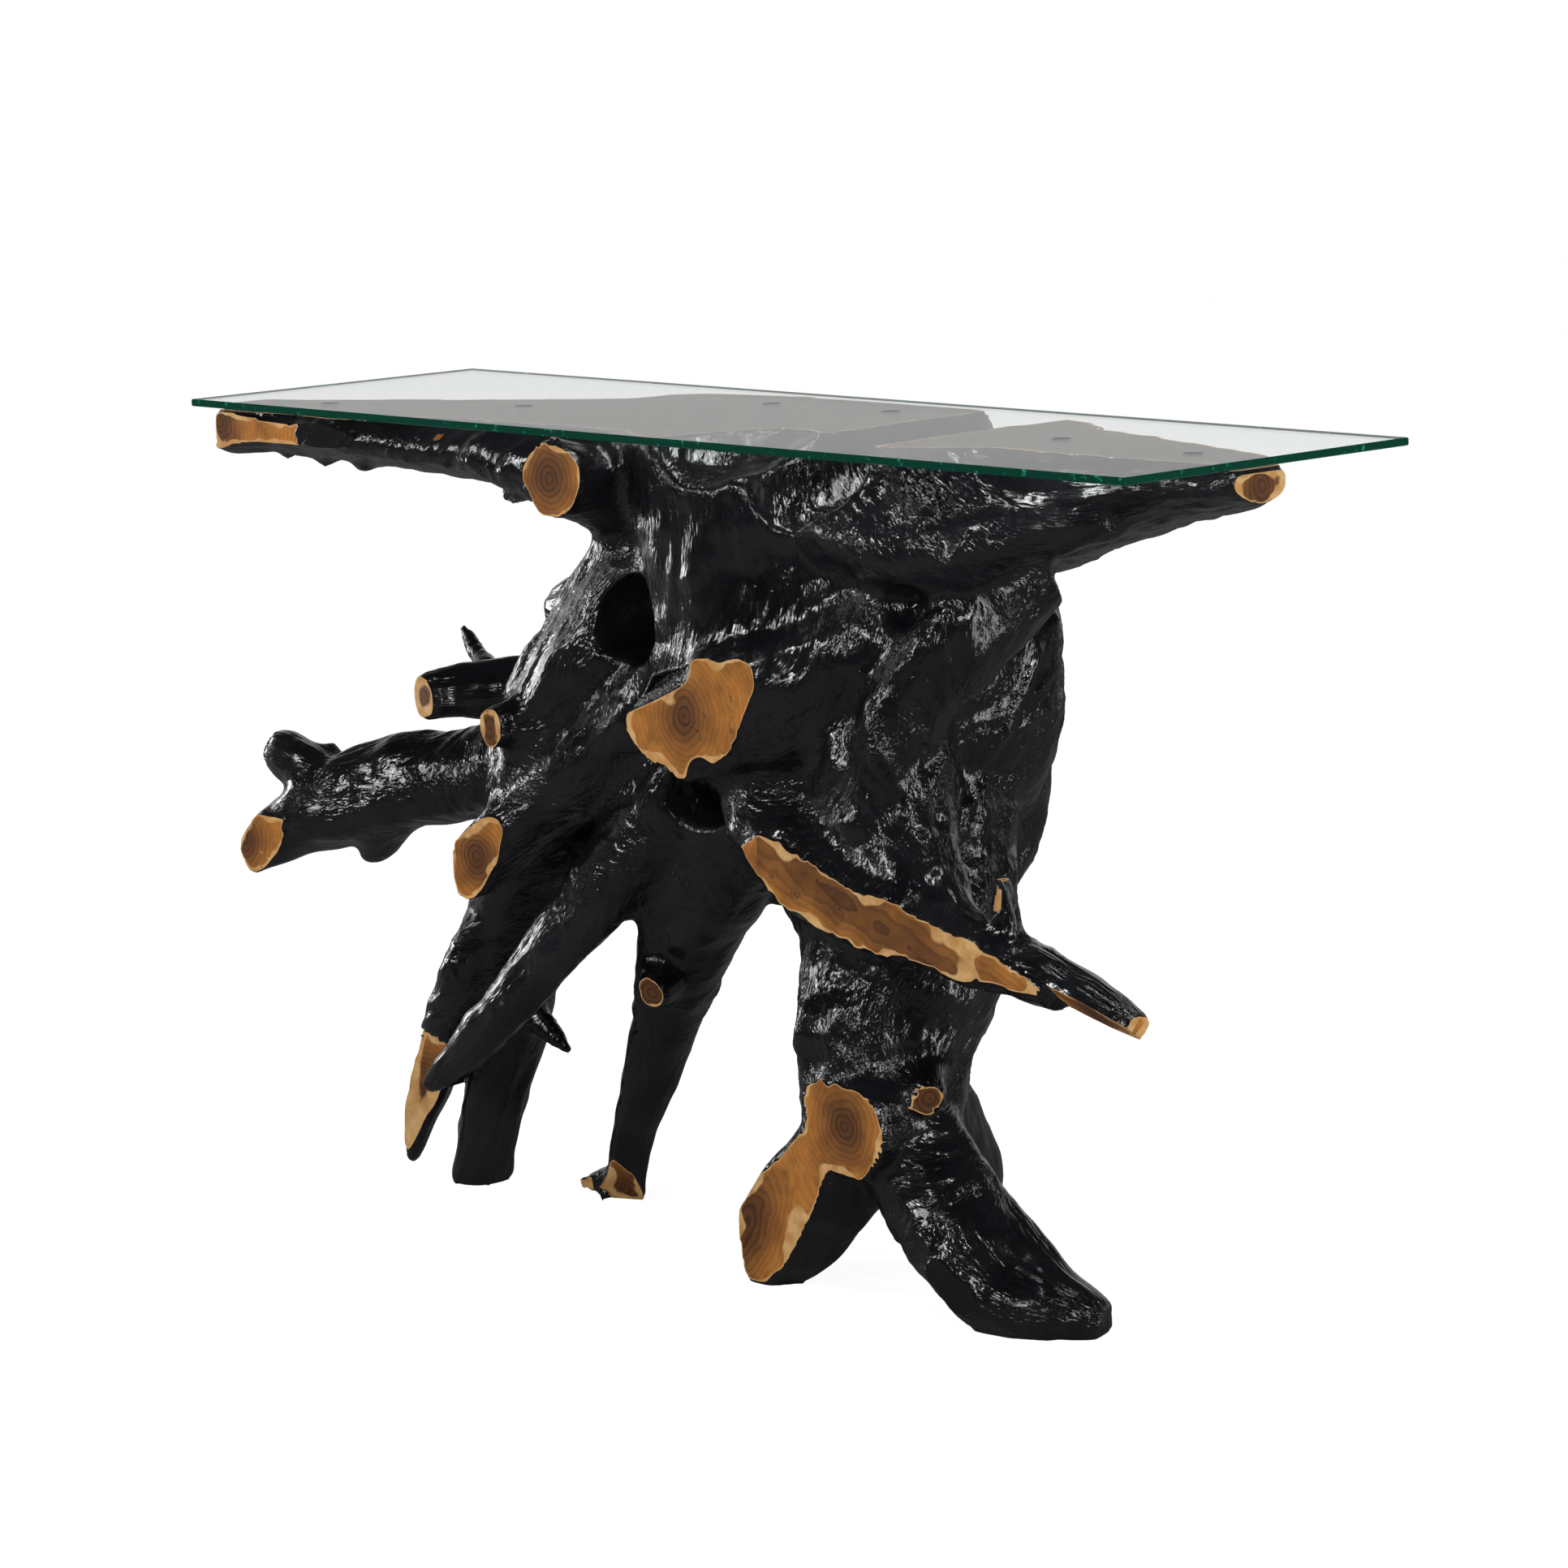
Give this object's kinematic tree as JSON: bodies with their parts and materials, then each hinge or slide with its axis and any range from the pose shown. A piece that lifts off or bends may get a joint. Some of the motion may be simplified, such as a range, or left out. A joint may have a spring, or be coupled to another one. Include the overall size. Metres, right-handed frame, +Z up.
{
  "type": "tree stump console table",
  "caption": "Console table: a rectangular clear glass pane resting on a black lacquered tree root stump with sawn natural ends.",
  "frame": {"origin": "on the floor, under the middle of the glass", "axes": "+X along the glass to the right as seen from the front, +Y from the front to the back, +Z up"},
  "size_m": [1.4, 0.41, 0.86],
  "materials": {
    "glass": "clear, polished edges",
    "lacquered_root": "black gloss lacquer over grooved root wood, bare oiled wood on the sawn ends",
    "dowel_wood": "plain turned hardwood",
    "clear_pads": "clear soft discs"
  },
  "bodies": {
    "root": {"glass_top": "glass", "crown": "lacquered_root", "trunk": "lacquered_root", "left_arm": "lacquered_root", "right_arm": "lacquered_root", "short_root": "lacquered_root", "long_root": "lacquered_root", "sloping_root": "lacquered_root", "split_root": "lacquered_root", "left_leg": "lacquered_root", "middle_leg": "lacquered_root", "right_leg": "lacquered_root", "left_foot": "lacquered_root", "boot": "lacquered_root", "rear_foot": "lacquered_root", "branch": "lacquered_root", "dowel_left_arm": "dowel_wood", "dowel_right_arm": "dowel_wood", "dowel_short_root": "dowel_wood", "dowel_long_root": "dowel_wood", "dowel_sloping_root": "dowel_wood", "dowel_split_root": "dowel_wood", "dowel_left_leg": "dowel_wood", "dowel_middle_leg": "dowel_wood", "dowel_right_leg": "dowel_wood", "dowel_left_foot": "dowel_wood", "dowel_boot": "dowel_wood", "dowel_rear_foot": "dowel_wood", "dowel_branch": "dowel_wood", "dowel_seam_1": "dowel_wood", "dowel_seam_2": "dowel_wood", "dowel_seam_3": "dowel_wood", "pad_1": "clear_pads", "pad_2": "clear_pads", "pad_3": "clear_pads", "pad_4": "clear_pads", "pad_5": "clear_pads", "pad_6": "clear_pads"}
  },
  "joints": []
}
